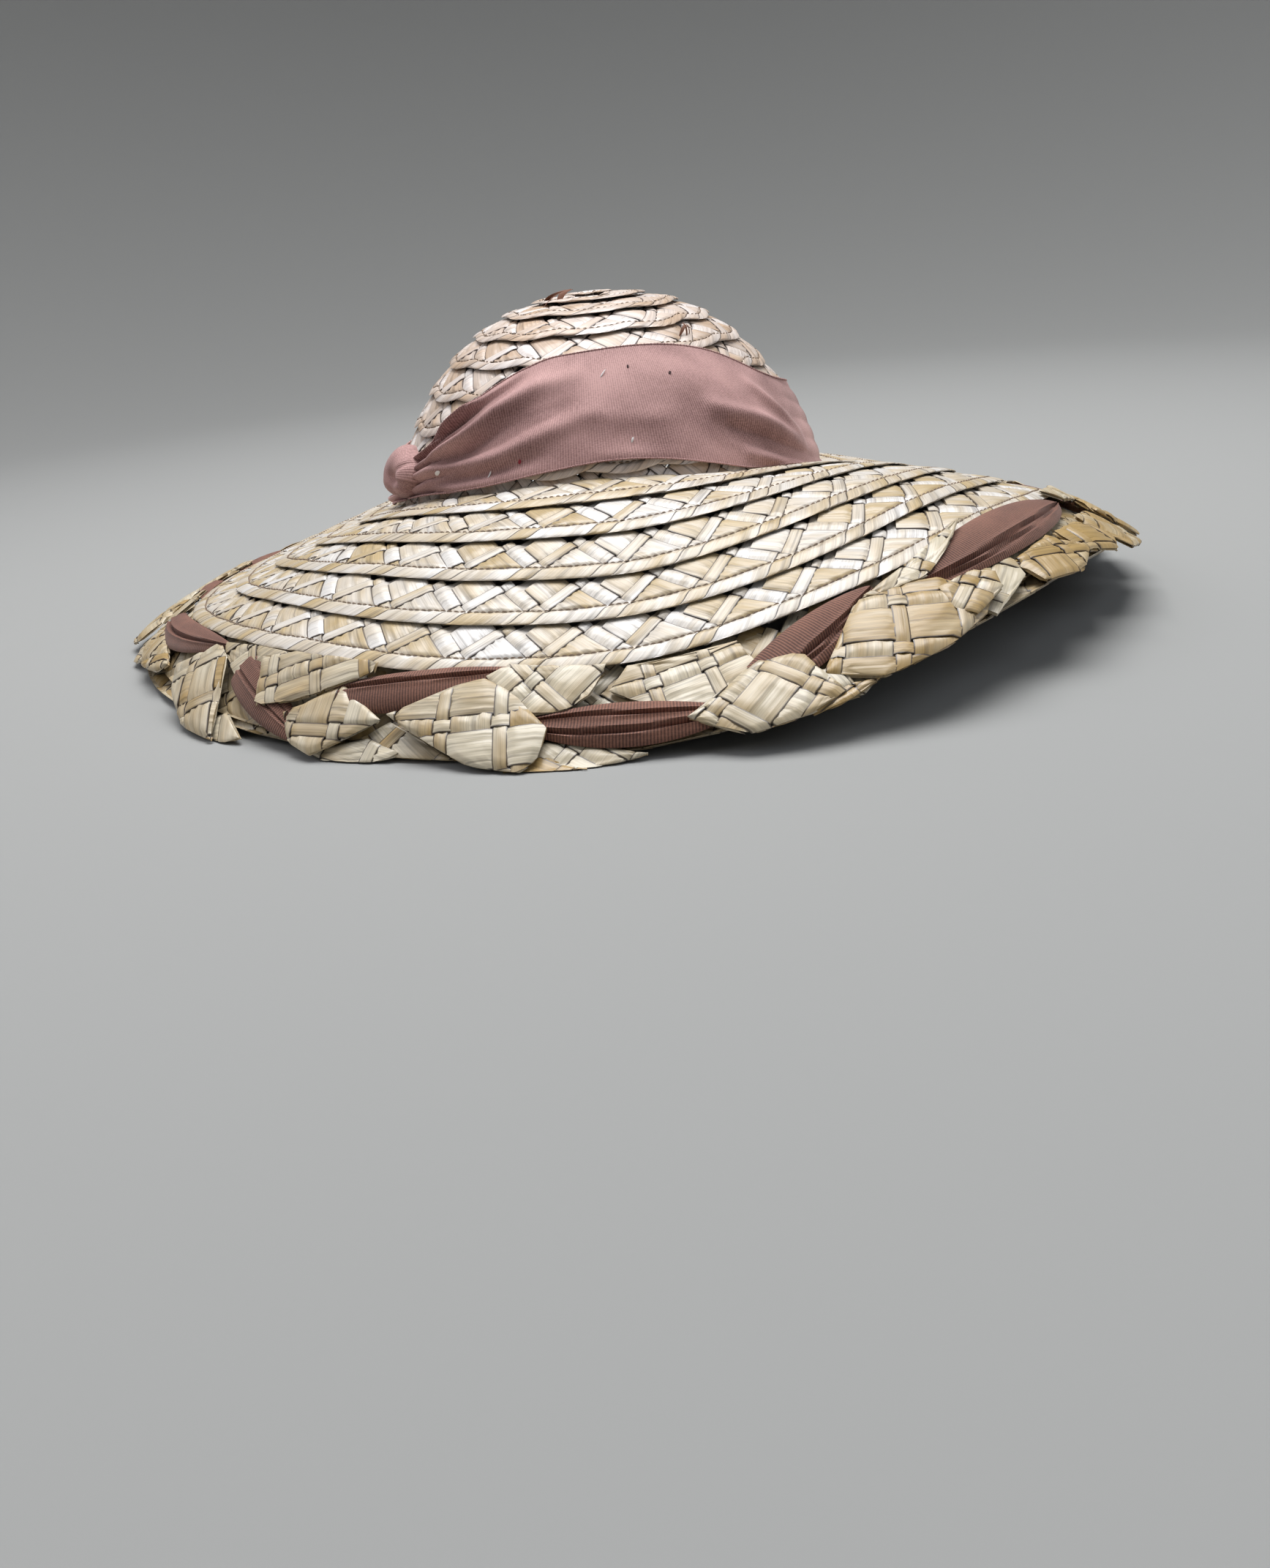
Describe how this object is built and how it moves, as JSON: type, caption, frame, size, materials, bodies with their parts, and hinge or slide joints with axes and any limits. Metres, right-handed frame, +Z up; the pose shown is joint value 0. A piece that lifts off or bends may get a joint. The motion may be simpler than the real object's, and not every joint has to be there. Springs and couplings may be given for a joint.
{
  "type": "straw hat",
  "caption": "Round-crowned hat of sewn wide straw plait with a wide drooping brim, a mauve ribbon band gathered at one side and a border of folded plait wound with brown ribbon.",
  "frame": {"origin": "on the surface that the hat stands on, under the middle of its box", "axes": "+Z up out of the crown's tip, -Y towards the hat's front, +X to the right in the picture"},
  "size_m": [0.3966, 0.404, 0.1179],
  "materials": {
    "crown_straw": "plaited palm straw, satin, slightly pink",
    "brim_straw": "plaited palm straw, satin, cream to tan",
    "border_straw": "folded plait, satin, cream to gold",
    "band_ribbon": "mauve grosgrain ribbon, matte, crosswise ribs",
    "border_ribbon": "brown grosgrain ribbon, matte, crosswise ribs"
  },
  "bodies": {
    "root": {"crown": "crown_straw", "brim": "brim_straw", "ribbon_band": "band_ribbon", "ribbon_knot": "band_ribbon", "border_straw": "border_straw", "border_ribbon": "border_ribbon"}
  },
  "joints": []
}
